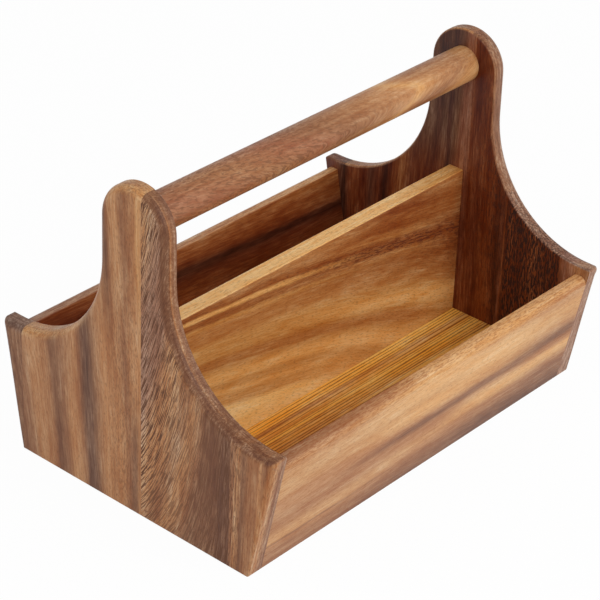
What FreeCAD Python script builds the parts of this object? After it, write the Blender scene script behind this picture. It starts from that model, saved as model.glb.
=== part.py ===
import FreeCAD, Part
import os
import Sketcher

# Open wooden table caddy: two shaped end panels glued up from staves, two sloping side boards,
# a divider standing on a grooved-in floor, and a dowel handle let into the heads of the ends.
# Origin: the middle of the footprint, on the table.  X runs along the handle, -Y is the front, Z is up.

document = FreeCAD.newDocument("table_caddy")
sheet = document.addObject("Spreadsheet::Sheet", "sizes")

SIZES = {
    # overall
    "length": 320,                # over the outer faces of the end panels
    "end_thickness": 12,
    # outline of an end panel, seen along X
    "base_width": 194,
    "tip_width": 229,             # over the two shoulder tips
    "shoulder_height": 89,
    "shoulder_flat": 8,           # level run from a tip to the start of the hollow curve
    "neck_width": 53,
    "head_diameter": 52.5,
    "head_height": 197.5,         # centre of the head
    "tip_round": 1.5,
    "edge_round": 5.5,            # outer arris of the panel, along its top outline
    "edge_round_foot": 1,         # where that round runs out at the foot of the sloping sides
    "edge_ease": 1.5,             # inner arris, but not where a side board lies flush with it
    # widths of the edge staves of the two end panels, at the foot
    "left_back_edge": 1.5,
    "left_front_edge": 16,
    "right_back_edge": 0.5,
    "right_front_edge": 7,
    # the other glue lines, measured along Y from the middle
    "left_seam": -8.5,
    "right_seam": -5.5,
    "right_front_seam": -43.5,
    "cutter_margin": 5,
    # sloping side boards
    "board_thickness": 10,
    "board_drop": 6.5,            # top edge below the shoulders
    "board_round": 5,             # outer top arris
    "board_ease": 1.2,            # inner top arris
    # divider
    "divider_thickness": 12,
    "divider_top": 123,
    "divider_ease": 1,
    # floor
    "floor_thickness": 6,
    "floor_top": 15,
    "groove_depth": 4,
    "groove_play": 0.1,
    # handle
    "handle_diameter": 24.5,
    "handle_height": 199.5,       # its axis
    "handle_chamfer": 0.8,
    "mortise_depth": 8,
    "mortise_fit": 0.05,          # radial
    # wooden pegs
    "peg_diameter": 6,
    "peg_in_end": 8,
    "peg_in_board": 16,
    "peg_fit": 0.05,              # radial
    "peg_play": 0.5,              # past each end of a peg
    "board_peg_low": 26,
    "board_peg_high": 62,
    "divider_peg_low": 42,
    "divider_peg_high": 100,
}

for row, (alias, number) in enumerate(SIZES.items(), start=1):
    sheet.set(f"A{row}", alias)
    sheet.set(f"B{row}", str(number))
    sheet.setAlias(f"B{row}", alias)
document.recompute()

# Expressions that several pieces share.
INNER_FACE = "(sizes.length / 2 - sizes.end_thickness)"
FLARE = "((sizes.tip_width - sizes.base_width) / 2 / sizes.shoulder_height)"
BOARD_RUN = f"(sizes.board_thickness * sqrt(1 + {FLARE} ^ 2))"
BOARD_TOP = "(sizes.shoulder_height - sizes.board_drop)"
FLOOR_BOTTOM = "(sizes.floor_top - sizes.floor_thickness)"
GROOVE_TOP = "(sizes.floor_top + sizes.groove_play)"
FLOOR_HALF = f"(sizes.base_width / 2 + {FLARE} * {FLOOR_BOTTOM} - {BOARD_RUN} + sizes.groove_depth)"
PEG_HOLE = "(sizes.peg_diameter / 2 + sizes.peg_fit)"
MORTISE = "(sizes.handle_diameter / 2 + sizes.mortise_fit)"


def value(expression):
    """the number that an expression gives now"""
    number = sheet.evalExpression(expression)
    return float(getattr(number, "Value", number))


def outer_face(height):
    """half width over the sloping outer faces at a height"""
    return f"(sizes.base_width / 2 + {FLARE} * {height})"


def board_middle(height):
    """distance from the middle plane to the middle of a side board's thickness at a height"""
    return f"({outer_face(height)} - {BOARD_RUN} / 2)"


# ---------------------------------------------------------------- sketches

ORIGIN = -1       # geometry index of the sketch's origin point and horizontal axis
VERTICAL = -2     # geometry index of its vertical axis
START, END, CENTRE = 1, 2, 3


def new_body(label):
    body = document.addObject("PartDesign::Body", label)
    body.Label = label
    return body


def section_sketch(body, label, offset="0"):
    """a sketch across X in the body's own YZ plane, moved along X by an expression"""
    planes = [item for item in body.Origin.OriginFeatures if item.Role == "YZ_Plane"]
    sketch = body.newObject("Sketcher::SketchObject", label)
    sketch.AttachmentSupport = [(planes[0], "")]
    sketch.MapMode = "FlatFace"
    if offset != "0":
        sketch.setExpression("AttachmentOffset.Base.z", offset)
    return sketch


def dimension(sketch, name, expression, kind, *where):
    """a named dimension of the sketch, tied to an expression"""
    index = sketch.addConstraint(Sketcher.Constraint(kind, *where, value(expression)))
    sketch.renameConstraint(index, name)
    sketch.setExpression(f"Constraints.{name}", expression)


def pin(sketch, name, geometry, point, across, up):
    """ties one point of the sketch to its two coordinates"""
    dimension(sketch, f"{name}_across", across, "DistanceX", ORIGIN, START, geometry, point)
    dimension(sketch, f"{name}_up", up, "DistanceY", ORIGIN, START, geometry, point)


def draw_polygon(sketch, corners):
    """a closed outline of straight lines with each corner pinned"""
    points = [FreeCAD.Vector(value(across), value(up), 0) for across, up in corners]
    count = len(points)
    for index in range(count):
        sketch.addGeometry(Part.LineSegment(points[index], points[(index + 1) % count]), False)
    for index in range(count):
        sketch.addConstraint(Sketcher.Constraint("Coincident", index, END, (index + 1) % count, START))
        pin(sketch, f"corner{index}", index, START, *corners[index])


def draw_circles(sketch, radius, centres):
    for across, up in centres:
        middle = FreeCAD.Vector(value(across), value(up), 0)
        circle = Part.Circle(middle, FreeCAD.Vector(0, 0, 1), value(radius))
        index = sketch.addGeometry(circle, False)
        pin(sketch, f"centre{index}", index, CENTRE, across, up)
        dimension(sketch, f"radius{index}", radius, "Radius", index)


def draw_end_outline(sketch):
    """sloping sides, level shoulders, hollow curves up to the neck, and a round head"""
    base = value("sizes.base_width / 2")
    tip = value("sizes.tip_width / 2")
    neck = value("sizes.neck_width / 2")
    head = value("sizes.head_diameter / 2")
    shoulder = value("sizes.shoulder_height")
    top = value("sizes.head_height")
    start = tip - value("sizes.shoulder_flat")
    radius = start - neck
    normal = FreeCAD.Vector(0, 0, 1)
    quarter = 1.5707963

    def line(from_y, from_z, to_y, to_z):
        ends = FreeCAD.Vector(from_y, from_z, 0), FreeCAD.Vector(to_y, to_z, 0)
        return sketch.addGeometry(Part.LineSegment(*ends), False)

    def arc(y, z, size, first, last):
        circle = Part.Circle(FreeCAD.Vector(y, z, 0), normal, size)
        return sketch.addGeometry(Part.ArcOfCircle(circle, first, last), False)

    def join(*where):
        sketch.addConstraint(Sketcher.Constraint(*where))

    bottom = line(-base, 0, base, 0)
    right_side = line(base, 0, tip, shoulder)
    right_shoulder = line(tip, shoulder, start, shoulder)
    right_hollow = arc(start, shoulder + radius, radius, 2 * quarter, 3 * quarter)
    right_neck = line(neck, shoulder + radius, head, top)
    crown = arc(0, top, head, 0, 2 * quarter)
    left_neck = line(-head, top, -neck, shoulder + radius)
    left_hollow = arc(-start, shoulder + radius, radius, 3 * quarter, 4 * quarter)
    left_shoulder = line(-start, shoulder, -tip, shoulder)
    left_side = line(-tip, shoulder, -base, 0)

    join("Coincident", bottom, END, right_side, START)
    join("Coincident", right_side, END, right_shoulder, START)
    join("Coincident", right_shoulder, END, right_hollow, END)
    join("Coincident", right_hollow, START, right_neck, START)
    join("Coincident", right_neck, END, crown, START)
    join("Coincident", crown, END, left_neck, START)
    join("Coincident", left_neck, END, left_hollow, END)
    join("Coincident", left_hollow, START, left_shoulder, START)
    join("Coincident", left_shoulder, END, left_side, START)
    join("Coincident", left_side, END, bottom, START)

    join("PointOnObject", bottom, START, ORIGIN)
    join("Symmetric", bottom, START, bottom, END, VERTICAL)
    join("Symmetric", left_side, START, right_side, END, VERTICAL)
    join("Horizontal", right_shoulder)
    join("Horizontal", left_shoulder)
    # each hollow curve leaves the shoulder level and meets the neck upright
    join("Vertical", right_hollow, CENTRE, right_hollow, END)
    join("Vertical", left_hollow, CENTRE, left_hollow, START)
    join("Horizontal", right_hollow, CENTRE, right_hollow, START)
    join("Horizontal", left_hollow, CENTRE, left_hollow, END)
    join("PointOnObject", crown, CENTRE, VERTICAL)
    join("Horizontal", crown, CENTRE, crown, START)
    join("Horizontal", crown, CENTRE, crown, END)

    dimension(sketch, "base_width", "sizes.base_width", "DistanceX", bottom, START, bottom, END)
    dimension(sketch, "tip_width", "sizes.tip_width", "DistanceX", left_side, START, right_side, END)
    dimension(sketch, "shoulder_height", "sizes.shoulder_height", "DistanceY",
              ORIGIN, START, right_side, END)
    dimension(sketch, "right_flat", "sizes.shoulder_flat", "DistanceX",
              right_shoulder, END, right_shoulder, START)
    dimension(sketch, "left_flat", "sizes.shoulder_flat", "DistanceX",
              left_shoulder, END, left_shoulder, START)
    dimension(sketch, "right_neck", "sizes.neck_width / 2", "DistanceX",
              ORIGIN, START, right_hollow, START)
    dimension(sketch, "left_neck", "sizes.neck_width / 2", "DistanceX",
              left_hollow, END, ORIGIN, START)
    dimension(sketch, "head_radius", "sizes.head_diameter / 2", "Radius", crown)
    dimension(sketch, "head_height", "sizes.head_height", "DistanceY",
              ORIGIN, START, crown, CENTRE)


# ---------------------------------------------------------------- features

def pad(body, sketch, expression, midplane=False):
    feature = body.newObject("PartDesign::Pad", f"{sketch.Name}_pad")
    feature.Profile = sketch
    feature.Midplane = midplane
    feature.setExpression("Length", expression)
    sketch.Visibility = False
    document.recompute()
    return feature


def pocket(body, sketch, expression, backwards=False, midplane=False):
    """cuts the sketch into the body and makes sure that it took material away"""
    before = body.Shape.Volume
    feature = body.newObject("PartDesign::Pocket", f"{sketch.Name}_cut")
    feature.Profile = sketch
    feature.Reversed = backwards
    feature.Midplane = midplane
    feature.setExpression("Length", expression)
    document.recompute()
    if not body.Shape.Volume < before - 1e-3:
        raise RuntimeError(f"{feature.Name} cut nothing")
    return feature


def soften(body, label, kind, expression, chosen):
    """rounds or chamfers the edges of the body that a test picks out"""
    base = body.Tip
    names = [f"Edge{n}" for n, edge in enumerate(base.Shape.Edges, start=1) if chosen(edge)]
    if not names:
        raise RuntimeError(f"{label} found no edge")
    feature = body.newObject(f"PartDesign::{kind}", label)
    feature.Base = (base, names)
    feature.setExpression("Radius" if kind == "Fillet" else "Size", expression)
    document.recompute()
    return feature


def near(first, second):
    return abs(first - second) < 1e-4


def lies_at(edge, x):
    """true for an edge that lies wholly in a plane across X"""
    return near(edge.BoundBox.XMin, x) and near(edge.BoundBox.XMax, x)


# ---------------------------------------------------------------- end panels

def board_peg_centres(side):
    heights = ("sizes.board_peg_low", "sizes.board_peg_high")
    return [(f"{side} * {board_middle(height)}", height) for height in heights]


DIVIDER_PEG_CENTRES = [("0", "sizes.divider_peg_low"), ("0", "sizes.divider_peg_high")]


def round_panel(label, blank, side):
    """Rounds the arrises of a panel.  The outer round runs out towards the foot of the sloping sides.

    A variable fillet takes its radii edge by edge, so they are read from the sheet here.
    """
    thickness = value("sizes.end_thickness")
    outer_x, inner_x = (0, thickness) if side < 0 else (thickness, 0)
    full = value("sizes.edge_round")
    foot = value("sizes.edge_round_foot")
    ease = value("sizes.edge_ease")
    tip_round = value("sizes.tip_round")
    tip = value("sizes.tip_width / 2")
    radii = []
    for number, edge in enumerate(blank.Shape.Edges, start=1):
        box = edge.BoundBox
        if near(abs(edge.CenterOfMass.y), tip):
            radii.append((number, tip_round, tip_round))
        elif near(box.ZMax, 0) or lies_at(edge, inner_x) and near(box.ZMin, 0):
            continue
        elif lies_at(edge, inner_x):
            radii.append((number, ease, ease))
        elif lies_at(edge, outer_x) and near(box.ZMin, 0):
            falls = edge.valueAt(edge.FirstParameter).z > edge.valueAt(edge.LastParameter).z
            radii.append((number, full, foot) if falls else (number, foot, full))
        elif lies_at(edge, outer_x):
            radii.append((number, full, full))
    rounded = document.addObject("Part::Fillet", f"{label}_rounded")
    rounded.Base = blank
    rounded.Edges = radii
    document.recompute()
    return rounded


def end_panel(label, side):
    """a whole glued-up panel, machined on its inner face; side is -1 at the left and 1 at the right"""
    blank = new_body(f"{label}_blank")
    outline = section_sketch(blank, f"{label}_outline")
    draw_end_outline(outline)
    pad(blank, outline, "sizes.end_thickness")
    body = new_body(label)
    body.BaseFeature = round_panel(label, blank, side)
    document.recompute()

    inner_offset = "sizes.end_thickness" if side < 0 else "0"
    mortise = section_sketch(body, f"{label}_mortise", inner_offset)
    draw_circles(mortise, MORTISE, [("0", "sizes.handle_height")])
    pocket(body, mortise, "sizes.mortise_depth", backwards=side > 0)

    holes = section_sketch(body, f"{label}_peg_holes", inner_offset)
    centres = board_peg_centres(-1) + board_peg_centres(1) + DIVIDER_PEG_CENTRES
    draw_circles(holes, PEG_HOLE, centres)
    pocket(body, holes, "sizes.peg_in_end + sizes.peg_play", backwards=side > 0)

    groove = section_sketch(body, f"{label}_floor_groove", inner_offset)
    draw_polygon(groove, [(f"-{FLOOR_HALF}", FLOOR_BOTTOM), (FLOOR_HALF, FLOOR_BOTTOM),
                          (FLOOR_HALF, GROOVE_TOP), (f"-{FLOOR_HALF}", GROOVE_TOP)])
    pocket(body, groove, "sizes.groove_depth", backwards=side > 0)

    place = "-sizes.length / 2" if side < 0 else "sizes.length / 2 - sizes.end_thickness"
    body.setExpression("Placement.Base.x", place)
    document.recompute()
    return body


def stave(label, panel, side, back, front):
    """the slice of a panel between two glue lines"""
    slab = document.addObject("Part::Box", f"{label}_slab")
    slab.setExpression("Length", "sizes.end_thickness + 2 * sizes.cutter_margin")
    slab.setExpression("Width", f"({back}) - ({front})")
    slab.setExpression("Height", "sizes.head_height + sizes.head_diameter")
    place = "-sizes.length / 2" if side < 0 else "sizes.length / 2 - sizes.end_thickness"
    slab.setExpression("Placement.Base.x", f"{place} - sizes.cutter_margin")
    slab.setExpression("Placement.Base.y", front)
    slab.setExpression("Placement.Base.z", "-sizes.cutter_margin")
    piece = document.addObject("Part::Common", label)
    piece.Label = label
    piece.Base = panel
    piece.Tool = slab
    return piece


def staves(panel, side, labels, widths):
    """cuts a panel into staves, from the back to the front

    widths holds the width of the back edge stave, the glue lines between and the width of the front one
    """
    outside = "(sizes.tip_width / 2 + sizes.cutter_margin)"
    back = f"(sizes.base_width / 2 - {widths[0]})"
    front = f"(sizes.base_width / 2 - {widths[-1]})"
    lines = [outside, back] + widths[1:-1] + [f"-{front}", f"-{outside}"]
    pairs = zip(lines[:-1], lines[1:])
    return [stave(label, panel, side, back, front) for label, (back, front) in zip(labels, pairs)]


# ---------------------------------------------------------------- boards, floor, handle, pegs

def long_piece_peg_holes(body, label, centres):
    """peg holes in both ends of a piece that runs between the end panels"""
    for end, offset, backwards in (("left", f"-{INNER_FACE}", True), ("right", INNER_FACE, False)):
        sketch = section_sketch(body, f"{label}_{end}_holes", offset)
        draw_circles(sketch, PEG_HOLE, centres)
        pocket(body, sketch, "sizes.peg_in_board + sizes.peg_play", backwards=backwards)


def side_board(label, side):
    """a sloping board flush with the sloping sides of the ends; side is -1 in front and 1 behind"""
    body = new_body(label)
    section = section_sketch(body, f"{label}_section")
    draw_polygon(section, [(f"{side} * {outer_face(0)}", "0"),
                           (f"{side} * {outer_face(BOARD_TOP)}", BOARD_TOP),
                           (f"{side} * ({outer_face(BOARD_TOP)} - {BOARD_RUN})", BOARD_TOP),
                           (f"{side} * ({outer_face(0)} - {BOARD_RUN})", "0")])
    pad(body, section, f"2 * {INNER_FACE}", midplane=True)
    top = value(BOARD_TOP)
    outside = value(outer_face(BOARD_TOP))
    inside = outside - value(BOARD_RUN)

    def top_arris(y):
        return lambda edge: near(edge.BoundBox.ZMin, top) and near(abs(edge.CenterOfMass.y), y) \
            and edge.BoundBox.XLength > 1

    soften(body, f"{label}_round", "Fillet", "sizes.board_round", top_arris(outside))
    soften(body, f"{label}_ease", "Fillet", "sizes.board_ease", top_arris(inside))

    groove = section_sketch(body, f"{label}_floor_groove")
    inner = f"({outer_face(0)} - {BOARD_RUN} - sizes.cutter_margin)"
    draw_polygon(groove, [(f"{side} * {inner}", FLOOR_BOTTOM), (f"{side} * {FLOOR_HALF}", FLOOR_BOTTOM),
                          (f"{side} * {FLOOR_HALF}", GROOVE_TOP), (f"{side} * {inner}", GROOVE_TOP)])
    pocket(body, groove, f"2 * {INNER_FACE}", midplane=True)
    long_piece_peg_holes(body, label, board_peg_centres(side))
    return body


def divider():
    label = "divider"
    body = new_body(label)
    section = section_sketch(body, f"{label}_section")
    half = "sizes.divider_thickness / 2"
    draw_polygon(section, [(f"-{half}", "sizes.floor_top"), (half, "sizes.floor_top"),
                           (half, "sizes.divider_top"), (f"-{half}", "sizes.divider_top")])
    pad(body, section, f"2 * {INNER_FACE}", midplane=True)
    top = value("sizes.divider_top")
    soften(body, f"{label}_ease", "Fillet", "sizes.divider_ease",
           lambda edge: near(edge.BoundBox.ZMin, top) and edge.BoundBox.XLength > 1)
    long_piece_peg_holes(body, label, DIVIDER_PEG_CENTRES)
    return body


def floor_panel():
    panel = document.addObject("Part::Box", "floor_panel")
    panel.Label = "floor_panel"
    panel.setExpression("Length", f"2 * ({INNER_FACE} + sizes.groove_depth)")
    panel.setExpression("Width", f"2 * {FLOOR_HALF}")
    panel.setExpression("Height", "sizes.floor_thickness")
    panel.setExpression("Placement.Base.x", f"-({INNER_FACE} + sizes.groove_depth)")
    panel.setExpression("Placement.Base.y", f"-{FLOOR_HALF}")
    panel.setExpression("Placement.Base.z", FLOOR_BOTTOM)
    return panel


def handle():
    label = "handle_dowel"
    body = new_body(label)
    section = section_sketch(body, f"{label}_section")
    draw_circles(section, "sizes.handle_diameter / 2", [("0", "sizes.handle_height")])
    pad(body, section, f"2 * ({INNER_FACE} + sizes.mortise_depth)", midplane=True)
    soften(body, f"{label}_chamfer", "Chamfer", "sizes.handle_chamfer",
           lambda edge: edge.BoundBox.XLength < 1e-3)
    return body


def pegs(label, centres):
    """the wooden pegs of one long piece, those of each end as one set"""
    turn = FreeCAD.Rotation(FreeCAD.Vector(0, 1, 0), 90)
    starts = {"left": f"-({INNER_FACE} + sizes.peg_in_end)", "right": f"{INNER_FACE} - sizes.peg_in_board"}
    sets = []
    for end, start in starts.items():
        cylinders = []
        for number, (across, up) in enumerate(centres, start=1):
            peg = document.addObject("Part::Cylinder", f"{label}_{end}_peg{number}")
            peg.Placement = FreeCAD.Placement(FreeCAD.Vector(0, 0, 0), turn)
            peg.setExpression("Radius", "sizes.peg_diameter / 2")
            peg.setExpression("Height", "sizes.peg_in_end + sizes.peg_in_board")
            peg.setExpression("Placement.Base.x", start)
            peg.setExpression("Placement.Base.y", across)
            peg.setExpression("Placement.Base.z", up)
            cylinders.append(peg)
        group = document.addObject("Part::Compound", f"{label}_{end}_pegs")
        group.Label = f"{label}_{end}_pegs"
        group.Links = cylinders
        sets.append(group)
    return sets


left_end = end_panel("left_end_panel", -1)
right_end = end_panel("right_end_panel", 1)

nodes = []
nodes += staves(left_end, -1,
                ["left_end_back_edge_stave", "left_end_back_stave",
                 "left_end_front_stave", "left_end_front_edge_stave"],
                ["sizes.left_back_edge", "sizes.left_seam", "sizes.left_front_edge"])
nodes += staves(right_end, 1,
                ["right_end_back_edge_stave", "right_end_back_stave", "right_end_middle_stave",
                 "right_end_front_stave", "right_end_front_edge_stave"],
                ["sizes.right_back_edge", "sizes.right_seam", "sizes.right_front_seam",
                 "sizes.right_front_edge"])
nodes.append(side_board("front_board", -1))
nodes.append(side_board("back_board", 1))
nodes.append(divider())
nodes.append(floor_panel())
nodes.append(handle())
nodes += pegs("front_board", board_peg_centres(-1))
nodes += pegs("back_board", board_peg_centres(1))
nodes += pegs("divider", DIVIDER_PEG_CENTRES)
document.recompute()

# ---------------------------------------------------------------- check and write

for item in document.Objects:
    if "Invalid" in item.State or "Error" in item.State:
        raise RuntimeError(f"{item.Name} failed: {item.State}")
for node in nodes:
    if node.Shape.isNull() or not node.Shape.isValid():
        raise RuntimeError(f"{node.Label} has no valid shape")
    if not node.Shape.Solids:
        raise RuntimeError(f"{node.Label} holds no solid")

os.makedirs("parts", exist_ok=True)
for node in nodes:
    node.Shape.exportStep(f"parts/{node.Label}.step")
    box = node.Shape.BoundBox
    print(f"{node.Label}: {len(node.Shape.Solids)} solid(s), {node.Shape.Volume / 1000:.1f} cm3, "
          f"x {box.XMin:.1f}..{box.XMax:.1f} y {box.YMin:.1f}..{box.YMax:.1f} z {box.ZMin:.1f}..{box.ZMax:.1f}")
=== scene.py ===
"""Looks of the wooden table caddy: oiled hardwood, each board and stave with a figure of its own."""

import math

import bpy
from mathutils import Matrix, Vector


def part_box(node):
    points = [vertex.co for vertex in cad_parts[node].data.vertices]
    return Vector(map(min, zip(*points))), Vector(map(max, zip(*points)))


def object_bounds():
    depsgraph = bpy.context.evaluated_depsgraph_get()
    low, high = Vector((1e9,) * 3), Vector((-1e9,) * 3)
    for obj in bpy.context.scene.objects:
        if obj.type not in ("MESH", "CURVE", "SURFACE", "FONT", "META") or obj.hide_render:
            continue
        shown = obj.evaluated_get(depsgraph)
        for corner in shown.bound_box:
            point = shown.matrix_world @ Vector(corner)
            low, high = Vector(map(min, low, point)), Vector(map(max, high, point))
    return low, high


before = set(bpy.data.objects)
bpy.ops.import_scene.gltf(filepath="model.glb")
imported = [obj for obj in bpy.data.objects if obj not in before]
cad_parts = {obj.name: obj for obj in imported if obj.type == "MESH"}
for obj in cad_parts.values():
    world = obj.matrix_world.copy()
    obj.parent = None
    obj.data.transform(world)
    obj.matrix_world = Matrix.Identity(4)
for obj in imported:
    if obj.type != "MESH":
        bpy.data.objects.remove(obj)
cad_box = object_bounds()
MM = 0.001
X, Y, Z = (1, 0, 0), (0, 1, 0), (0, 0, 1)

# ---------------------------------------------------------------- palette

# Colours of the wood as they look in plain light, red, green and blue from 0 to 255.
PALETTE = {
    # sapwood and gold; the last of them is painted light, for the floor where it catches the most light
    "cream": (226, 174, 114),
    "straw": (212, 160, 104),
    "pale": (200, 147, 95),
    "wheat": (244, 200, 128),
    "gold": (238, 184, 112),
    "honey": (226, 168, 98),
    "amber": (202, 144, 80),
    "caramel": (184, 122, 66),
    "marigold": (242, 178, 84),
    "syrup": (218, 152, 76),
    "sunlit": (255, 198, 92),
    # plain brown heartwood
    "tan": (188, 134, 88),
    "camel": (176, 122, 78),
    "fawn": (163, 111, 71),
    "nut": (149, 100, 65),
    "umber": (132, 87, 56),
    "walnut": (115, 73, 47),
    "coffee": (98, 61, 40),
    "russet": (158, 99, 66),
    "rust": (136, 82, 56),
    "mauve": (146, 104, 78),
    "dove": (166, 122, 96),
    "ash": (130, 103, 88),
    "copper": (170, 99, 54),
    "toffee": (148, 74, 18),
    # red heartwood
    "sienna": (157, 92, 44),
    "chestnut": (139, 74, 33),
    "mahogany": (120, 58, 26),
    "garnet": (104, 46, 21),
    "oxblood": (90, 39, 19),
    "ebony": (72, 33, 18),
    "black": (50, 24, 15),
}


def linear(level):
    """a display level from 0 to 255 as a linear one from 0 to 1, by the sRGB curve"""
    share = level / 255
    return share / 12.92 if share <= 0.04045 else ((share + 0.055) / 1.055) ** 2.4


def colour(name, alpha=1):
    return (*(linear(level) for level in PALETTE[name]), alpha)


# ---------------------------------------------------------------- node trees

# The colour sockets of a Mix node, whose names are those of its other sockets too.
MIX_FACTOR, MIX_FIRST, MIX_SECOND, MIX_RESULT = 0, 6, 7, 2


class Tree:
    """a node tree, built by short calls that take and return sockets"""

    def __init__(self, owner):
        owner.use_nodes = True
        self.tree = owner.node_tree
        self.tree.nodes.clear()

    def add(self, kind, inputs=None, **settings):
        node = self.tree.nodes.new(kind)
        for name, setting in settings.items():
            setattr(node, name, setting)
        for name, value in (inputs or {}).items():
            self.put(node.inputs[name], value)
        return node

    def put(self, socket, value):
        if isinstance(value, bpy.types.NodeSocket):
            self.tree.links.new(value, socket)
        else:
            socket.default_value = value

    def math(self, operation, *values, clamp=False):
        inputs = dict(enumerate(values))
        return self.add("ShaderNodeMath", inputs, operation=operation, use_clamp=clamp).outputs[0]

    def times(self, first, second):
        return self.math("MULTIPLY", first, second)

    def plus(self, first, second):
        return self.math("ADD", first, second)

    def minus(self, first, second):
        return self.math("SUBTRACT", first, second)

    def scaled(self, value, factor, offset, clamp=False):
        """the value times the factor, plus the offset"""
        return self.math("MULTIPLY_ADD", value, factor, offset, clamp=clamp)

    def lerp(self, share, first, second):
        """first where the share is 0, second where it is 1"""
        return self.scaled(share, self.minus(second, first), first)

    def step(self, value, low, high):
        """0 below low, 1 above high and smooth between"""
        inputs = {"Value": value, "From Min": low, "From Max": high}
        return self.add("ShaderNodeMapRange", inputs, interpolation_type="SMOOTHSTEP").outputs[0]

    def vector(self, *values):
        return self.add("ShaderNodeCombineXYZ", dict(enumerate(values))).outputs[0]

    def dot(self, vector, axis):
        node = self.add("ShaderNodeVectorMath", {0: vector, 1: axis}, operation="DOT_PRODUCT")
        return node.outputs["Value"]

    def in_units(self, vector, sizes):
        """the vector in units of a size along each axis"""
        scales = tuple(1 / size for size in sizes)
        return self.add("ShaderNodeVectorMath", {0: vector, 1: scales}, operation="MULTIPLY").outputs[0]

    def noise(self, vector, kind):
        """noise from -1 to 1, mostly within a half; its kind is (sizes, octaves, roughness)"""
        sizes, octaves, roughness = kind
        place = self.in_units(vector, sizes)
        inputs = {"Vector": place, "Scale": 1.0, "Detail": octaves, "Roughness": roughness}
        return self.scaled(self.add("ShaderNodeTexNoise", inputs).outputs[0], 2, -1)

    def mix(self, share, first, second):
        """the first colour where the share is 0, the second where it is 1"""
        inputs = {MIX_FACTOR: share, MIX_FIRST: first, MIX_SECOND: second}
        return self.add("ShaderNodeMix", inputs, data_type="RGBA").outputs[MIX_RESULT]

    def ramp(self, value, stops):
        """colour and porosity over millimetres: stops are (place, colour name, how porous it is there)"""
        low, high = stops[0][0], stops[-1][0]
        place = self.add("ShaderNodeMapRange", {"Value": value, "From Min": low, "From Max": high}).outputs[0]
        node = self.add("ShaderNodeValToRGB", {"Fac": place})
        elements = node.color_ramp.elements
        for where, name, porosity in stops:
            if where == low:
                element = elements[0]
            elif where == high:
                element = elements[-1]
            else:
                element = elements.new((where - low) / (high - low))
            element.color = colour(name, porosity)
        return node.outputs["Color"], node.outputs["Alpha"]

    def blend(self, share, first, second):
        """a pair of colour and porosity between two such pairs"""
        return self.mix(share, first[0], second[0]), self.lerp(share, first[1], second[1])


# ---------------------------------------------------------------- wood

# Kinds of noise: sizes in millimetres along the grain, across it in the face and through the
# thickness, then the octaves of finer noise and how much each of them keeps.
MEANDER = ((150, 42, 42), 1.5, 0.5)           # slow wandering of the streaks
RAGGED = ((24, 1.5, 1.5), 3.0, 0.6)           # ragged edges of the streaks
BANDS = ((190, 4.5, 6), 3.0, 0.55)            # weak bands between the streaks
LINES = ((34, 0.85, 1.1), 4.0, 0.75)          # fine lines along the grain
LAYERS = ((80, 14, 1.5), 2.0, 0.5)            # growth layers, cut open where the arrises are rounded
PAINTED_SHEEN = ((16, 7, 10), 3.0, 0.6)             # painted sheen: patches where the grain turns a little and catches the light, as lighter and darker colour
FLECKS = ((12, 1.5, 1.5), 1.0, 0.5)           # small darker and lighter flecks
PORES = ((9.5, 1.05, 1.05), 1.0, 0.5)         # open pores, short dashes along the grain
FINE_PORES = ((3.2, 0.62, 0.62), 1.0, 0.5)    # the stipple of small pores between them

# How far one seed lies from the next in the noise, in millimetres.
SEED_ALONG = 371
SEED_ACROSS = 113

# The figure, in millimetres.
RAGGED_REACH = 1.8         # how far the edges of a streak stray
TOP_REACH = 30             # how far the colours of a top edge stray along it
SIDE_REACH = 0.6           # how far the colours of a stave's side stray through its thickness
FOLD_ROUND = 3.0           # how blunt the arrow heads of a mirrored figure are

# How far a surface faces up, sideways or along the grain: from where to where the other cut takes over.
TOP_BLEND = 0.4            # beyond the piece's own top_rise
SIDE_FACING = (0.15, 0.6)
END_FACING = (0.2, 0.95)
END_SHARE = 0.45           # of the end grain's colour on a plain cut across the grain
ROUND_SHARE = 1.1          # and its gain on a rounded arris
END_POROSITY = 0.6

# How much each noise deepens the colour, as a part of the power it is raised to.
BANDS_DEEPEN = 0.34
LINES_DEEPEN = 0.55
LAYERS_DEEPEN = 0.6
PAINTED_SHEEN_DEEPEN = 0.2
FLECKS_DEEPEN = 0.34

# Ribs: the two lengths are parts of the distance between them.
RIB_COLOUR = "toffee"
RIB_STRAY = 0.8            # how far a rib strays with the bands
RIB_EDGE = (0.27, 0.46)    # where it begins and is full, from midway between two
RIB_STRENGTH = 0.9
RIB_FADING = 0.6           # how much the painted sheen patches change that strength

# Pores: from where to where in its noise a pore opens, and how strong it is.
PORE_EDGE = (0.08, 0.20)
FINE_PORE_EDGE = (0.10, 0.30)
PORE_GAIN = 0.2            # lowers that edge where a piece has more pores
FINE_PORE_SHARE = 0.5      # strength of the small pores in porous wood
STIPPLE_SHARE = 0.42       # and what is added to it in all wood
PORE_DARKNESS = 0.72       # share of the pore's colour where it is fully open

# The oiled surface.
ROUGHNESS = 0.42
PORE_ROUGHNESS = 0.2
LINE_ROUGHNESS = 0.06
LINE_RELIEF = 0.25         # against 1 for the depth of a pore
RELIEF_STRENGTH = 0.35
RELIEF_HEIGHT = 0.15 * MM
SPECULAR = 0.28


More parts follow.
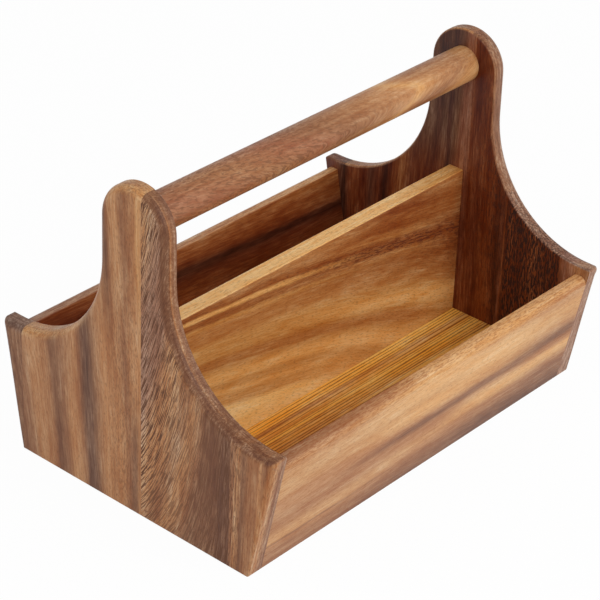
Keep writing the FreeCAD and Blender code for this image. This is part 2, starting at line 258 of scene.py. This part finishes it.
class Wood(Tree):
    """oiled wood for one piece; a piece may set its looks apart from the ones below"""

    lean = 0.0                 # how far the streaks drop across the board for each step along it
    fan = 0.0                  # what that gains for each step across the board
    fan_from = 0.0             # the place across the board where it gains nothing
    tilt = 0.35                # slant of the streaks through the thickness
    wander = 3.0               # how far the streaks meander, in millimetres
    feather = 1.0              # how ragged their edges are
    fold = None                # place across the board, and rise, of a line that mirrors the figure
    depth = 1.0                # strength of the bands, lines, layers and flecks
    ribs = 0.0                 # distance between straight dark lines, or 0 for none
    pores = 1.0                # how many open pores there are, and how dark
    pore_colour = "ebony"
    pore_length = 1.0
    pore_width = 1.0
    pore_lean = 0.0            # lean of the pores against the streaks
    stipple = 1.0              # how strong the small pores are in plain wood
    top = None                 # stops of a ramp along a narrow top edge
    top_rise = 0.45            # how far a surface faces up where that edge begins
    side = None                # stops of a ramp through the thickness on the sides of a stave
    end = "umber"              # colour of the end grain
    seed = 0                   # tells the noise of one piece from that of another

    def __init__(self, name, axes, face, tables, **looks):
        """Make the material.

        axes are the directions along the grain, across it in the board's face, and through the
        thickness.  face is where the show face lies along the last of them, in millimetres.  tables
        holds, for places along the board, the stops of a ramp across it there.
        """
        self.material = bpy.data.materials.new(name)
        super().__init__(self.material)
        for look, value in looks.items():
            setattr(self, look, value)
        self.along, self.across, self.through = axes
        self.lay_figure(face)
        self.bands = self.noise(self.fibres, BANDS)
        self.lines = self.noise(self.fibres, LINES)
        # painted sheen: patches of lighter and darker colour where the grain turns
        self.painted_sheen = self.noise(self.grain, PAINTED_SHEEN)
        tint, porosity = self.other_cuts(self.streaks(tables))
        tint = self.deepened(tint)
        if self.ribs:
            tint = self.ribbed(tint)
        open_pores = self.open_pores(porosity)
        darkness = self.math("MULTIPLY", open_pores, PORE_DARKNESS, clamp=True)
        self.surface(self.mix(darkness, tint, colour(self.pore_colour)), open_pores)

    def lay_figure(self, face):
        """find where each point lies along the grain, in the figure of the board and in its thickness"""
        place = self.in_units(self.add("ShaderNodeTexCoord").outputs["Object"], (MM, MM, MM))
        self.run = self.dot(place, self.along)
        self.inwards = self.minus(self.dot(place, self.through), face)
        self.width = self.dot(place, self.across)
        if self.fold:
            height, rise = self.fold
            aside = self.minus(self.width, self.scaled(self.run, rise, height))
            rounded = self.scaled(aside, aside, FOLD_ROUND ** 2)
            self.width = self.plus(self.math("SQRT", rounded), height - FOLD_ROUND)
        self.grain = self.noise_place(self.width)

        drift = self.scaled(self.minus(self.width, self.fan_from), self.fan, self.lean)
        figure = self.scaled(self.run, drift, self.width)
        figure = self.scaled(self.inwards, self.tilt, figure)
        self.figure = self.scaled(self.noise(self.grain, MEANDER), self.wander * 2, figure)
        self.fibres = self.noise_place(self.figure)
        self.ragged = self.noise(self.fibres, RAGGED)

    def noise_place(self, width):
        """where to sample a noise, for a place across the board"""
        run = self.plus(self.run, self.seed * SEED_ALONG)
        return self.vector(run, self.plus(width, self.seed * SEED_ACROSS), self.inwards)

    def streaks(self, tables):
        """colour and porosity from ramps that replace one another along the board"""
        figure = self.scaled(self.ragged, self.feather * RAGGED_REACH, self.figure)
        starts = sorted(tables)
        pair = self.ramp(figure, tables[starts[0]])
        for before, after in zip(starts, starts[1:]):
            pair = self.blend(self.step(self.run, before, after), pair, self.ramp(figure, tables[after]))
        return pair

    def other_cuts(self, pair):
        """a narrow top edge, the sides of a stave and the end grain show other cuts of the wood"""
        normal = self.add("ShaderNodeNewGeometry").outputs["True Normal"]
        facing = {axis: self.math("ABSOLUTE", self.dot(normal, axis))
                  for axis in (self.along, self.across, self.through)}
        if self.top:
            upward = self.step(self.dot(normal, Z), self.top_rise, self.top_rise + TOP_BLEND)
            place = self.scaled(self.ragged, TOP_REACH, self.run)
            pair = self.blend(upward, pair, self.ramp(place, self.top))
        if self.side:
            place = self.scaled(self.ragged, SIDE_REACH, self.inwards)
            pair = self.blend(self.step(facing[self.across], *SIDE_FACING), pair, self.ramp(place, self.side))
        tint, porosity = pair
        cut = self.step(facing[self.along], *END_FACING)
        on_round = self.times(facing[self.along], facing[self.through])
        share = self.scaled(on_round, ROUND_SHARE, self.times(cut, END_SHARE), clamp=True)
        return self.mix(share, tint, colour(self.end)), self.lerp(cut, porosity, END_POROSITY)

    def deepened(self, tint):
        """bands, lines, layers and flecks make the wood a little darker and redder, or lighter; so do patches
        of painted sheen
        """
        power = self.scaled(self.bands, BANDS_DEEPEN * self.depth, 1)
        power = self.scaled(self.lines, LINES_DEEPEN * self.depth, power)
        power = self.scaled(self.noise(self.grain, LAYERS), LAYERS_DEEPEN * self.depth, power)
        power = self.scaled(self.painted_sheen, PAINTED_SHEEN_DEEPEN, power)
        power = self.scaled(self.noise(self.fibres, FLECKS), FLECKS_DEEPEN * self.depth, power)
        return self.add("ShaderNodeGamma", {"Color": tint, "Gamma": power}).outputs[0]

    def ribbed(self, tint):
        """straight dark lines along the grain"""
        place = self.scaled(self.bands, RIB_STRAY * self.ribs, self.width)
        ridge = self.math("PINGPONG", place, self.ribs / 2)
        line = self.step(ridge, RIB_EDGE[0] * self.ribs, RIB_EDGE[1] * self.ribs)
        share = self.times(line, self.scaled(self.painted_sheen, RIB_FADING, RIB_STRENGTH, clamp=True))
        return self.mix(share, tint, colour(RIB_COLOUR))

    def open_pores(self, porosity):
        """how open the wood is: large pores where it is porous, and small ones everywhere"""
        place = self.noise_place(self.scaled(self.run, self.pore_lean, self.figure))
        (length, width, thickness), octaves, roughness = PORES
        sizes = (length * self.pore_length, width * self.pore_width, thickness * self.pore_width)
        large = self.noise(place, (sizes, octaves, roughness))
        large = self.step(self.plus(large, PORE_GAIN * (self.pores - 1)), *PORE_EDGE)
        small = self.step(self.noise(place, FINE_PORES), *FINE_PORE_EDGE)
        large_share = self.times(porosity, self.pores)
        small_share = self.scaled(porosity, FINE_PORE_SHARE * self.pores, STIPPLE_SHARE * self.stipple)
        return self.math("MAXIMUM", self.times(large, large_share), self.times(small, small_share))

    def surface(self, tint, open_pores):
        """the oiled surface, duller in pores and dark lines; pores are sunk and lines stand a little proud"""
        roughness = self.scaled(open_pores, PORE_ROUGHNESS, ROUGHNESS)
        roughness = self.scaled(self.lines, LINE_ROUGHNESS, roughness)
        relief = self.scaled(self.lines, LINE_RELIEF, self.times(open_pores, -1))
        bump = self.add("ShaderNodeBump", {
            "Height": relief, "Strength": RELIEF_STRENGTH, "Distance": RELIEF_HEIGHT,
        })
        shader = self.add("ShaderNodeBsdfPrincipled", {
            "Base Color": tint, "Roughness": roughness, "Normal": bump.outputs[0],
            "Specular IOR Level": SPECULAR,
        })
        self.add("ShaderNodeOutputMaterial", {"Surface": shader.outputs[0]})


def dress(node, axes, face, tables, **looks):
    """give a node wood of its own"""
    material = Wood(f"{node}_wood", axes, face, tables, **looks).material
    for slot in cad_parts[node].material_slots:
        slot.material = material


# ---------------------------------------------------------------- end panels

# Where the show faces lie: the left end's outer face and the right end's inner one.
SHOW_FACES = {
    "left": cad_box[0].x / MM,
    "right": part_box("right_end_back_stave")[0].x / MM,
}

# Streaks of the left end's back stave that are the same at two heights.
DARK_STREAK = [(26.5, "umber", 0.1), (30, "coffee", 0.1), (33.5, "coffee", 0.1), (35.5, "walnut", 0.1),
               (37.5, "nut", 0), (41.7, "camel", 0)]
BACK_STREAK = [(52.7, "nut", 0.1), (57, "umber", 0.2), (61, "umber", 0.2), (64, "fawn", 0.1),
               (71, "camel", 0.1), (78, "camel", 0), (84, "nut", 0.1), (96, "umber", 0.1)]


# The sides of the right end's back and front staves, through their thickness.
RIGHT_SIDE = [(0, "mauve", 0.2), (6, "dove", 0.2), (12, "dove", 0.1)]


def stave(panel, place, tables, **looks):
    """dress a stave of an end panel; its grain is upright"""
    dress(f"{panel}_end_{place}_stave", (Z, Y, X), SHOW_FACES[panel], tables, **looks)


stave(
    "left", "back_edge",
    {0: [(94, "umber", 0.2), (97, "walnut", 0.4), (100, "umber", 0.5), (104, "walnut", 0.4),
         (108, "umber", 0.3), (114, "walnut", 0.2)]},
    lean=-0.12, end="ash", seed=1)
stave(
    "left", "back",
    {40: [(-9, "camel", 0.2), (-6.2, "camel", 0.2), (-3.6, "umber", 0.4), (-1.6, "umber", 0.5),
          (0.5, "nut", 0.5), (3, "fawn", 0.6), (8.6, "tan", 0.6), (14, "camel", 0.4),
          (18.7, "tan", 0.2), (23.3, "fawn", 0.2), *DARK_STREAK, (47, "tan", 0.1), *BACK_STREAK],
     100: [(-9, "camel", 0.2), (-6.2, "tan", 0.2), (-3, "tan", 0.4), (0.5, "camel", 0.5),
           (3, "nut", 0.6), (6, "fawn", 0.6), (8.6, "camel", 0.6), (14, "camel", 0.3),
           (18.7, "tan", 0.1), (23.3, "fawn", 0.1), *DARK_STREAK, (47, "fawn", 0.1), *BACK_STREAK],
     180: [(-9, "tan", 0.1), (-6.5, "pale", 0), (-4.5, "camel", 0.1), (-2, "fawn", 0.3),
           (1, "nut", 0.2), (4, "tan", 0.1), (7.5, "camel", 0.1), (10.5, "nut", 0.1),
           (12.5, "walnut", 0.1), (15, "umber", 0.1), (20, "fawn", 0)]},
    fan=-0.0016, fan_from=-8, wander=2.2, depth=0.8, pore_colour="coffee", pore_length=0.45,
    pore_width=0.9, end="pale", seed=2)
stave(
    "left", "front",
    {0: [(-84, "umber", 0.8), (-79, "walnut", 1), (-71, "walnut", 0.9), (-64, "umber", 0.8),
         (-55, "umber", 0.6), (-46, "umber", 0.6), (-40, "nut", 0.6), (-35, "fawn", 0.6),
         (-29, "camel", 0.6), (-24, "tan", 0.6), (-19, "fawn", 0.7), (-10, "fawn", 0.8),
         (0, "tan", 0.8), (8, "tan", 1), (20, "tan", 1), (40, "dove", 1), (75, "dove", 1),
         (110, "tan", 1)]},
    fan=0.0088, fan_from=-80, pores=1.42, pore_colour="coffee", pore_length=1.6, pore_width=1.12,
    pore_lean=0.15, end="walnut", seed=3,
    # Painted highlight: the light line at 5.6 mm on the side, where the rounded arris meets the flat edge.
    side=[(0, "walnut", 0.6), (3.5, "walnut", 0.6), (5.0, "umber", 0.4), (5.6, "camel", 0),
          (6.2, "fawn", 0.1), (7, "nut", 0.2), (11, "mauve", 0.2), (12, "coffee", 0.2)])
stave(
    "left", "front_edge",
    {0: [(-112, "umber", 0.2), (-105, "nut", 0.1), (-101.5, "tan", 0.1), (-99, "fawn", 0.1),
         (-93, "fawn", 0.1), (-88, "umber", 0.3), (-84.5, "camel", 0.7), (-81, "nut", 0.9)]},
    lean=0.03, end="walnut", seed=4,
    # On the side, the lighter wood near the outer face is partly the wood's own light streak and partly a
    # painted highlight on the rounded arris.
    side=[(0, "camel", 0.1), (4.5, "tan", 0.1), (6.5, "fawn", 0.2), (12, "mauve", 0.2)])

stave(
    "right", "back_edge",
    # The black at 96 mm is painted shade, in the joint by the back board.
    {0: [(96, "black", 0.2), (100, "ebony", 0.3), (106, "garnet", 0.4), (114, "oxblood", 0.2)]},
    end="walnut", seed=5, side=[(0, "coffee", 0.2), (12, "walnut", 0.2)])
stave(
    "right", "back",
    {105: [(-6, "chestnut", 0.1), (-1, "chestnut", 0.1), (2, "mahogany", 0.1), (5, "garnet", 0.1),
           (8.5, "ebony", 0.1), (10.5, "ebony", 0.1), (14, "mahogany", 0.1), (22, "garnet", 0.2),
           (30, "mahogany", 0.2), (38, "garnet", 0.2), (46, "chestnut", 0.1), (53, "mahogany", 0.2),
           (60, "ebony", 0.3), (66, "garnet", 0.4), (74, "ebony", 0.3), (80, "garnet", 0.2),
           # The black at 97 mm is painted shade, in the joint by the back board.
           (88, "mahogany", 0.3), (93, "garnet", 0.2), (97, "black", 0.1)],
     150: [(-6, "rust", 0.1), (-1, "rust", 0.1), (3, "walnut", 0.1), (7, "coffee", 0.1),
           (9, "ebony", 0.1), (11.5, "ebony", 0.1), (14, "coffee", 0.2), (20, "ebony", 0.2),
           (27, "coffee", 0.2), (60, "coffee", 0.2), (97, "coffee", 0.1)]},
    lean=0.01, end="tan", seed=6, side=RIGHT_SIDE)
stave(
    "right", "middle",
    {0: [(-44, "rust", 0.2), (-41.8, "rust", 0.2), (-40.6, "oxblood", 0.8), (-38, "oxblood", 1),
         (-34, "mahogany", 0.8), (-30, "chestnut", 0.5), (-26, "chestnut", 0.4), (-21, "mahogany", 0.3),
         (-17, "garnet", 0.2), (-12, "mahogany", 0.2), (-8, "mahogany", 0.2), (-5, "garnet", 0.2)],
     120: [(-44, "oxblood", 0.6), (-38, "oxblood", 1), (-33, "mahogany", 0.8), (-26, "mahogany", 0.5),
           (-20, "garnet", 0.4), (-16, "garnet", 0.2), (-12, "mahogany", 0.2), (-8, "rust", 0.2),
           (-5, "rust", 0.2)]},
    lean=-0.01, pore_colour="black", pore_length=0.6, seed=7,
    side=[(0, "nut", 0.2), (6, "mauve", 0.2), (12, "mauve", 0.1)])
stave(
    "right", "front",
    {0: [(-91, "mahogany", 1), (-80, "garnet", 1), (-66, "mahogany", 1), (-55, "garnet", 1),
         (-47, "mahogany", 0.9), (-45, "oxblood", 0.4), (-44, "mahogany", 0.2), (-43, "mahogany", 0.2)]},
    wander=0.6, pores=1.7, pore_colour="black", pore_length=0.55, end="mauve", seed=8, side=RIGHT_SIDE)
stave(
    "right", "front_edge",
    {0: [(-115, "nut", 0.3), (-105, "camel", 0.2), (-99, "russet", 0.3), (-95, "rust", 0.3),
         (-90, "mahogany", 0.4)]},
    end="ash", seed=9, side=[(0, "dove", 0.2), (12, "mauve", 0.2)])

# ---------------------------------------------------------------- boards, handle and pegs

# The side boards stand on the base this far out and slope outwards, in millimetres.
BOARD_FOOT = 97
BOARD_THICKNESS = 10
SLOPE_OUT = 17.5
SLOPE_UP = 89
SLOPE = SLOPE_OUT / SLOPE_UP
SLOPE_LENGTH = math.hypot(1, SLOPE)
OUTER_FACE = BOARD_FOOT / SLOPE_LENGTH       # how far the plane of the outer face lies from the middle

dress(
    "front_board", (X, Z, (0, 1 / SLOPE_LENGTH, SLOPE / SLOPE_LENGTH)), -OUTER_FACE,
    {-110: [(-4, "nut", 0.1), (4, "fawn", 0.1), (10, "fawn", 0.1), (15.5, "tan", 0.1),
            (16.8, "nut", 0.1), (18.5, "pale", 0), (23, "pale", 0), (30, "camel", 0.1),
            (38, "camel", 0.1), (44, "tan", 0.1), (50, "tan", 0.1), (58, "pale", 0.1),
            (66, "pale", 0.1), (74, "pale", 0.2), (79, "tan", 0.5), (86, "fawn", 0.9)],
     0: [(-4, "walnut", 0.1), (3, "umber", 0.1), (9, "nut", 0.1), (14, "fawn", 0.1), (19, "tan", 0),
         (25, "pale", 0), (32, "tan", 0), (37, "camel", 0.1), (40.5, "umber", 0.1), (43.5, "nut", 0.1),
         (46, "tan", 0.1), (49, "straw", 0), (54, "cream", 0), (62, "straw", 0), (68, "cream", 0),
         (75, "cream", 0.1), (80, "straw", 0.4), (86, "straw", 0.9)],
     60: [(-4, "coffee", 0.1), (3, "walnut", 0.1), (10, "umber", 0.1), (16, "fawn", 0.1),
          (21, "camel", 0), (25, "straw", 0), (29, "cream", 0), (34, "straw", 0), (38, "tan", 0.1),
          (41, "umber", 0.1), (44.5, "nut", 0.1), (48, "pale", 0.1), (54, "straw", 0),
          (62, "cream", 0), (68, "cream", 0), (75, "straw", 0.1), (80, "straw", 0.4),
          (86, "honey", 0.9)],
     130: [(-4, "coffee", 0.1), (3, "walnut", 0.1), (10, "umber", 0.1), (19, "nut", 0.1),
           (24, "camel", 0), (28, "straw", 0), (33, "cream", 0), (37, "tan", 0), (40, "camel", 0.1),
           (44, "umber", 0.1), (48, "umber", 0.1), (52, "camel", 0), (56, "pale", 0),
           (64, "straw", 0), (70, "straw", 0.1), (75, "pale", 0.1), (80, "tan", 0.4),
           (86, "straw", 0.9)]},
    wander=1.6, depth=0.7, pore_colour="chestnut", pore_length=0.5, seed=10,
    # Painted light: the top edge is lighter towards the far end, where more light falls on it.
    top=[(-148, "nut", 0.8), (-50, "camel", 0.8), (-10, "straw", 0.6), (100, "straw", 0.6),
         (148, "pale", 0.6)])
dress(
    "back_board", (X, Z, (0, 1 / SLOPE_LENGTH, -SLOPE / SLOPE_LENGTH)), OUTER_FACE - BOARD_THICKNESS,
    {-110: [(20, "mahogany", 0.4), (58, "garnet", 0.5), (68, "garnet", 0.4), (75, "mahogany", 0.3),
            (84, "sienna", 0.4)],
     -40: [(20, "mahogany", 0.5), (46, "copper", 0.6), (52, "chestnut", 0.6), (57, "mahogany", 0.5),
           (60.5, "oxblood", 0.4), (64, "ebony", 0.2), (67, "ebony", 0.2), (71, "mahogany", 0.3),
           (76, "chestnut", 0.3), (80, "chestnut", 0.3), (84, "sienna", 0.4)],
     60: [(20, "mahogany", 0.4), (46, "mahogany", 0.5), (54, "mahogany", 0.5), (59, "garnet", 0.4),
          (63, "ebony", 0.3), (66, "ebony", 0.2), (69, "mahogany", 0.2), (73, "chestnut", 0.3),
          (80, "chestnut", 0.3), (85, "sienna", 0.4)]},
    lean=0.045, wander=1.2, depth=0.8, pore_colour="oxblood", stipple=0.6, seed=11, top_rise=0.58,
    # Painted light: the top edge is lighter towards the far end, where more light falls on it.
    top=[(-148, "mauve", 0.6), (-40, "fawn", 0.6), (20, "tan", 0.5), (148, "pale", 0.5)])
dress(
    "divider", (X, Z, Y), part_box("divider")[0].y / MM,
    {-60: [(-5, "wheat", 0), (20, "wheat", 0), (25, "amber", 0), (31, "amber", 0), (35, "honey", 0),
           (39, "amber", 0), (42, "amber", 0), (45, "honey", 0), (50, "honey", 0), (54, "amber", 0),
           (58, "caramel", 0.1), (62, "caramel", 0.1), (66, "amber", 0), (72, "amber", 0),
           (77, "amber", 0), (83, "caramel", 0), (92, "caramel", 0.1), (96, "amber", 0.1),
           (99, "sienna", 0.3), (103, "sienna", 0.3), (105, "honey", 0.1), (106.5, "honey", 0.1),
           (108.5, "sienna", 0.4), (112, "sienna", 0.3), (118, "caramel", 0.1),
           (142, "caramel", 0.1)],
     90: [(-5, "gold", 0), (22, "gold", 0), (30, "honey", 0), (36, "amber", 0), (40, "amber", 0),
          (44, "honey", 0), (49, "honey", 0), (54, "amber", 0), (58, "caramel", 0.1),
          (62, "caramel", 0.1), (66, "amber", 0), (69.5, "honey", 0), (73, "honey", 0),
          (77, "amber", 0), (83, "caramel", 0), (94, "sienna", 0.1), (100, "caramel", 0.3),
          (103, "chestnut", 1), (107, "chestnut", 1), (109, "chestnut", 0.6), (112, "caramel", 0.1),
          (116, "sienna", 0.2), (122, "sienna", 0.2), (128, "chestnut", 0.2), (142, "caramel", 0.1)],
     150: [(-5, "gold", 0), (20, "gold", 0), (40, "honey", 0), (52, "honey", 0), (60, "amber", 0.1),
           (68, "honey", 0.1), (74, "honey", 0), (80, "caramel", 0), (90, "sienna", 0.2),
           (99, "chestnut", 0.5), (105, "chestnut", 1), (111, "chestnut", 0.4), (118, "sienna", 0.1),
           (128, "sienna", 0.1), (142, "caramel", 0.1)]},
    lean=0.2, fan=-0.0021, fan_from=70, tilt=0.3, wander=2.6, depth=0.75, pores=1.2,
    pore_colour="oxblood", pore_length=0.7, seed=12,
    top=[(-148, "gold", 0), (0, "gold", 0), (80, "gold", 0.1), (148, "amber", 0.2)])
# Painted light: the floor's colours get lighter towards the divider, away from the shade of the front board,
# and lighter towards the right end too.
dress(
    "floor_panel", (X, Y, Z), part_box("floor_panel")[1].z / MM,
    {-40: [(-95, "syrup", 0), (-80, "marigold", 0), (-60, "syrup", 0), (-44, "marigold", 0),
           (-36, "syrup", 0), (-32, "marigold", 0), (-29, "syrup", 0), (-26, "sunlit", 0),
           (-23, "syrup", 0), (-20, "marigold", 0), (-17, "copper", 0), (-15, "marigold", 0),
           (-11, "sunlit", 0), (-8, "marigold", 0), (-5, "sunlit", 0), (10, "sunlit", 0),
           (26, "syrup", 0), (42, "marigold", 0), (66, "syrup", 0), (95, "marigold", 0)],
     80: [(-95, "marigold", 0), (-44, "sunlit", 0), (-34, "marigold", 0), (-30, "sunlit", 0),
          (-26, "sunlit", 0), (-21, "marigold", 0), (-17, "syrup", 0), (-14, "sunlit", 0),
          (10, "sunlit", 0), (26, "marigold", 0), (42, "sunlit", 0), (95, "marigold", 0)]},
    wander=0.2, feather=0.3, depth=1.1, pore_colour="chestnut", seed=13, ribs=2.4)
dress(
    "handle_dowel", (X, Z, Y), 0,
    {80: [(141, "fawn", 0.8), (170, "russet", 0.8), (184, "fawn", 0.9), (196, "russet", 0.8),
          (204, "nut", 0.7), (212, "fawn", 0.4), (219, "camel", 0.3), (224, "tan", 0.2),
          (227, "straw", 0), (230, "tan", 0.1), (234, "fawn", 0.3), (241, "nut", 0.5),
          (250, "fawn", 0.4), (260, "tan", 0.3), (272, "fawn", 0.3)],
     125: [(141, "tan", 0.6), (212, "tan", 0.4), (219, "pale", 0.2), (227, "cream", 0),
           (234, "tan", 0.2), (241, "fawn", 0.4), (250, "pale", 0.2), (272, "pale", 0.2)]},
    lean=0.33, fold=(199, 0.08), tilt=0.2, wander=2.5, depth=0.6, pore_colour="walnut",
    pore_length=0.6, pore_width=1.1, stipple=0.6, seed=14)
for board in ("front_board", "back_board", "divider"):
    for side in ("left", "right"):
        dress(f"{board}_{side}_pegs", (X, Y, Z), 0,
              {0: [(-120, "cream", 0.1), (120, "straw", 0.1)]}, seed=15)

# ---------------------------------------------------------------- floor and sky

FLOOR_SIZE = 12.0
WHITE = (1, 1, 1, 1)
MATT_GREY = (0.82, 0.82, 0.82, 1)
WHITE_SHARE = 0.97         # of the floor in view; the rest keeps the shadow
SKY_LIGHT = 0.5            # what the sky sheds on the caddy

half = FLOOR_SIZE / 2
floor_mesh = bpy.data.meshes.new("floor")
floor_mesh.from_pydata([(-half, -half, 0), (half, -half, 0), (half, half, 0), (-half, half, 0)], [],
                       [(0, 1, 2, 3)])
floor = bpy.data.objects.new("floor", floor_mesh)
bpy.context.scene.collection.objects.link(floor)


def seen_directly(tree):
    """1 for what the camera sees, itself or in a mirror or through glass"""
    path = tree.add("ShaderNodeLightPath")
    seen = tree.math("MAXIMUM", path.outputs["Is Camera Ray"], path.outputs["Is Glossy Ray"])
    return tree.math("MAXIMUM", seen, path.outputs["Is Transmission Ray"])


def white_floor():
    """a matt floor that takes a shadow and looks white"""
    material = bpy.data.materials.new("white_floor")
    tree = Tree(material)
    matt = tree.add("ShaderNodeBsdfDiffuse", {"Color": MATT_GREY}).outputs[0]
    white = tree.add("ShaderNodeEmission", {"Color": WHITE, "Strength": 1.0}).outputs[0]
    share = tree.times(seen_directly(tree), WHITE_SHARE)
    mixed = tree.add("ShaderNodeMixShader", {0: share, 1: matt, 2: white}).outputs[0]
    tree.add("ShaderNodeOutputMaterial", {"Surface": mixed})
    return material


floor_mesh.materials.append(white_floor())

world = bpy.data.worlds.new("studio")
bpy.context.scene.world = world
sky = Tree(world)
soft = sky.add("ShaderNodeBackground", {"Color": WHITE, "Strength": SKY_LIGHT}).outputs[0]
bright = sky.add("ShaderNodeBackground", {"Color": WHITE, "Strength": 1.0}).outputs[0]
sky_mix = sky.add("ShaderNodeMixShader", {0: seen_directly(sky), 1: soft, 2: bright}).outputs[0]
sky.add("ShaderNodeOutputWorld", {"Surface": sky_mix})

# ---------------------------------------------------------------- lights and camera


def softbox(name, place, aim, size, power):
    lamp = bpy.data.lights.new(name, "AREA")
    lamp.shape = "RECTANGLE"
    lamp.size, lamp.size_y = size
    lamp.energy = power
    item = bpy.data.objects.new(name, lamp)
    item.location = place
    item.rotation_euler = (Vector(aim) - Vector(place)).to_track_quat("-Z", "Y").to_euler()
    bpy.context.scene.collection.objects.link(item)


softbox("key", place=(0.15, -1.35, 1.1), aim=(0, 0, 0.08), size=(0.8, 0.6), power=14)
softbox("left_fill", place=(-1.5, 0.1, 0.7), aim=(0, 0, 0.1), size=(1.0, 1.0), power=6)

# The camera looks down on the near left corner; its roll is a slight tilt of the frame.
CAMERA_PLACE = Vector((-1.00094, -0.84560, 0.86710))
CAMERA_HEADING = math.radians(40.422)      # from +X towards +Y
CAMERA_DROP = math.radians(30.942)
CAMERA_ROLL = math.radians(2.229)
FOCAL_PIXELS = 2387.35                     # for the frame of 600 by 600
FRAME_PIXELS = 600
SENSOR = 36.0

ahead = Vector((math.cos(CAMERA_HEADING) * math.cos(CAMERA_DROP),
                math.sin(CAMERA_HEADING) * math.cos(CAMERA_DROP), -math.sin(CAMERA_DROP)))
level = Vector((math.sin(CAMERA_HEADING), -math.cos(CAMERA_HEADING), 0))
upward = level.cross(ahead)
right = math.cos(CAMERA_ROLL) * level + math.sin(CAMERA_ROLL) * upward
top = math.cos(CAMERA_ROLL) * upward - math.sin(CAMERA_ROLL) * level
lens = bpy.data.cameras.new("camera")
lens.sensor_width = SENSOR
lens.lens = SENSOR * FOCAL_PIXELS / FRAME_PIXELS
camera = bpy.data.objects.new("camera", lens)
camera.matrix_world = Matrix.Translation(CAMERA_PLACE) @ Matrix((right, top, -ahead)).transposed().to_4x4()
bpy.context.scene.collection.objects.link(camera)
bpy.context.scene.camera = camera
bpy.context.scene.view_settings.view_transform = "Standard"
